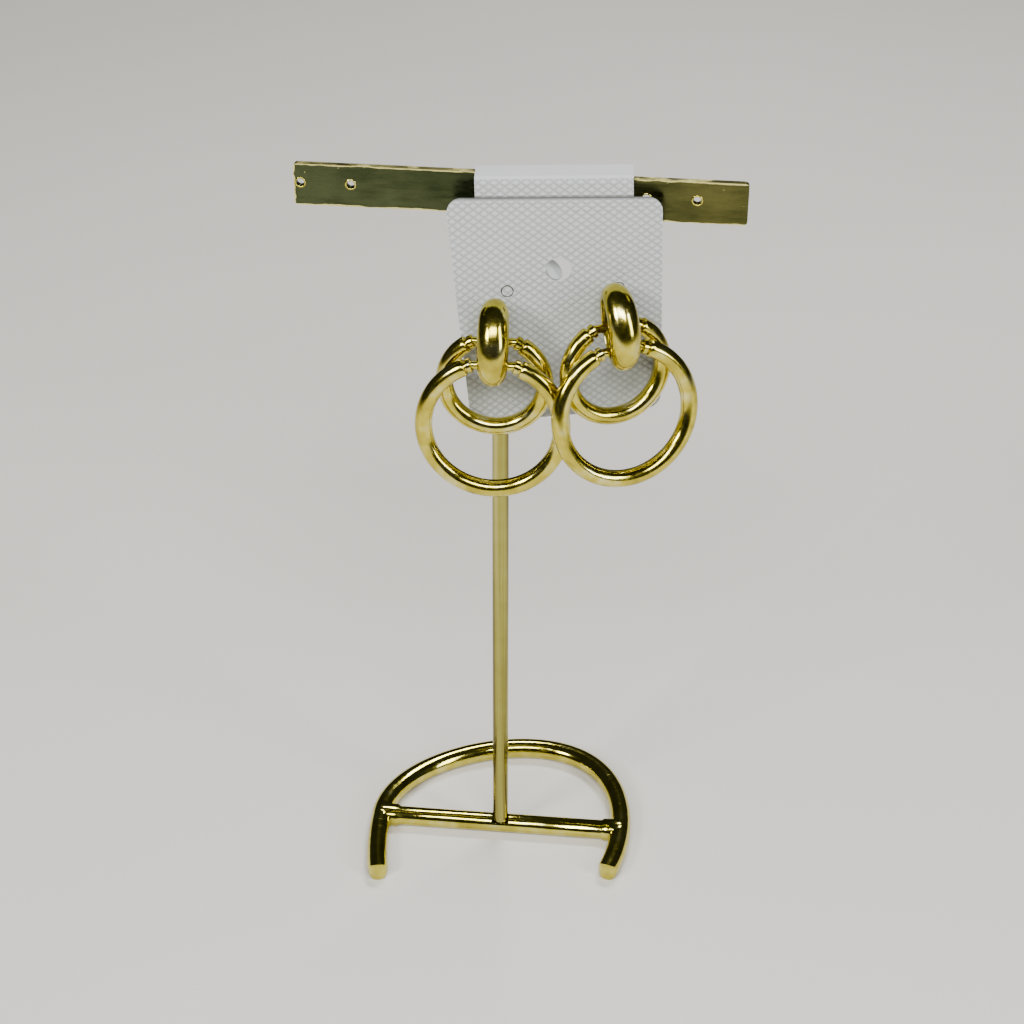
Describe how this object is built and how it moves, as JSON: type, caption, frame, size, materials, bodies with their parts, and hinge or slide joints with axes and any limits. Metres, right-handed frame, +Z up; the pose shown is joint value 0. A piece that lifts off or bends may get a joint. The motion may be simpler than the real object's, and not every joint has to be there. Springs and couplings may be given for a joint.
{
  "type": "pair of hoop earrings on a card, on a t-bar display stand",
  "caption": "Puffed hoop earrings with swinging round rings, pinned to a folded white card that hangs on a gold-coloured T-bar stand with a horseshoe foot.",
  "frame": {"origin": "middle of the bounding box's footprint, on the surface that the stand's foot rests on", "axes": "+Z up along the pole, +X along the stand's bar to the viewer's right, -Y to the front, where the card faces"},
  "size_m": [0.1062, 0.0636, 0.2019],
  "materials": {
    "stand_gold": "polished, light scratches",
    "bar_gold": "polished, scuffed",
    "earring_gold": "mirror polished plating",
    "card_white": "embossed satin skin"
  },
  "bodies": {
    "display": {"stand_base": "stand_gold", "stand_pole": "stand_gold", "stand_bar": "bar_gold", "earring_card": "card_white", "left_hoop": "earring_gold", "left_ear_nut": "earring_gold", "right_hoop": "earring_gold", "right_ear_nut": "earring_gold"},
    "left_small": {"left_small_ring": "earring_gold"},
    "left_large": {"left_large_ring": "earring_gold"},
    "right_small": {"right_small_ring": "earring_gold"},
    "right_large": {"right_large_ring": "earring_gold"}
  },
  "joints": [
    {"name": "left_small_swing", "type": "hinge", "parent": "display", "child": "left_small", "pos_m": [-0.00428, -0.01872, 0.16275], "axis": [-0.9997, -0.0225, 0], "range_deg": [0, 2]},
    {"name": "left_large_swing", "type": "hinge", "parent": "display", "child": "left_large", "pos_m": [-0.00417, -0.02351, 0.15898], "axis": [-0.9997, -0.0225, 0], "range_deg": [0, 1]},
    {"name": "right_small_swing", "type": "hinge", "parent": "display", "child": "right_small", "pos_m": [0.02366, -0.01495, 0.16642], "axis": [-0.8984, -0.4392, 0], "range_deg": [0, 2]},
    {"name": "right_large_swing", "type": "hinge", "parent": "display", "child": "right_large", "pos_m": [0.02577, -0.01926, 0.16265], "axis": [-0.8984, -0.4392, 0], "range_deg": [0, 90]}
  ]
}
